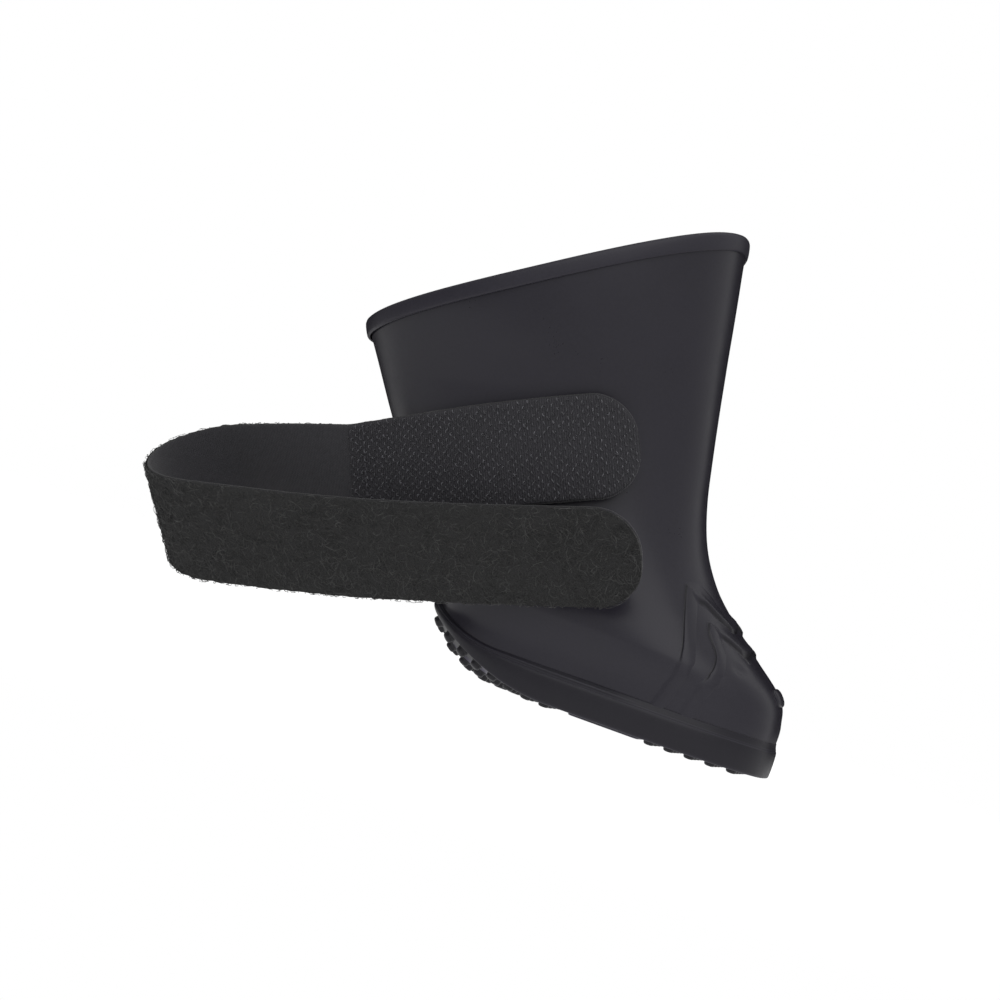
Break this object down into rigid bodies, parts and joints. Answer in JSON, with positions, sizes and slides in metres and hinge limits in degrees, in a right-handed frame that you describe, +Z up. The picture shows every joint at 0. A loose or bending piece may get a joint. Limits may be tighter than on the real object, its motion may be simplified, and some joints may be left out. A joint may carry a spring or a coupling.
{
  "type": "strapped rubber boot",
  "caption": "Small moulded rubber boot with a studded sole, a rim band, raised instep ribs and a hook-and-loop ankle strap whose free tail hangs open.",
  "frame": {"origin": "middle of the flat waist pad under the sole, which the boot stands on", "axes": "+Z up, +X towards the toe, the strap is fixed on the -Y side"},
  "size_m": [0.1666, 0.0787, 0.1223],
  "materials": {
    "upper_shell": "satin black moulded rubber",
    "rim_band": "satin black moulded rubber",
    "foxing_band": "satin black moulded rubber",
    "outsole": "matt black tread rubber",
    "insole": "thin foam with a fabric face",
    "instep_rib_outer": "satin black moulded rubber",
    "instep_rib_inner": "satin black moulded rubber",
    "toe_bumper": "satin black moulded rubber",
    "strap_bond_pad": "black bonding layer",
    "strap_web_anchor": "black woven tape",
    "strap_pile_anchor": "black loop pile",
    "hook_patch": "black hook tape",
    "patch_stitching": "black sewing thread",
    "strap_web_run": "black woven tape",
    "strap_pile_run": "black loop pile",
    "strap_web_bend": "black woven tape",
    "strap_pile_bend": "black loop pile",
    "strap_web_tail": "black woven tape",
    "strap_pile_tail": "black loop pile"
  },
  "bodies": {
    "boot": {"upper_shell": "upper_shell", "rim_band": "rim_band", "foxing_band": "foxing_band", "outsole": "outsole", "insole": "insole", "instep_rib_outer": "instep_rib_outer", "instep_rib_inner": "instep_rib_inner", "toe_bumper": "toe_bumper", "strap_bond_pad": "strap_bond_pad", "strap_web_anchor": "strap_web_anchor", "strap_pile_anchor": "strap_pile_anchor", "hook_patch": "hook_patch", "patch_stitching": "patch_stitching"},
    "strap_run": {"strap_web_run": "strap_web_run", "strap_pile_run": "strap_pile_run"},
    "strap_bend": {"strap_web_bend": "strap_web_bend", "strap_pile_bend": "strap_pile_bend"},
    "strap_tail": {"strap_web_tail": "strap_web_tail", "strap_pile_tail": "strap_pile_tail"}
  },
  "joints": [
    {"name": "strap_root_fold", "type": "hinge", "parent": "boot", "child": "strap_run", "pos_m": [-0.07811, -0.01772, 0.03622], "axis": [-0.4035, 0, 0.915], "range_deg": [-60, 2]},
    {"name": "strap_loop_open", "type": "hinge", "parent": "strap_run", "child": "strap_bend", "pos_m": [-0.10422, -0.01001, 0.0294], "axis": [0.4232, 0.4067, -0.8096], "range_deg": [0, 60]},
    {"name": "strap_tail_open", "type": "hinge", "parent": "strap_bend", "child": "strap_tail", "pos_m": [-0.10381, -0.03464, 0.01249], "axis": [0.4232, 0.4067, -0.8096], "range_deg": [0, 60]}
  ]
}
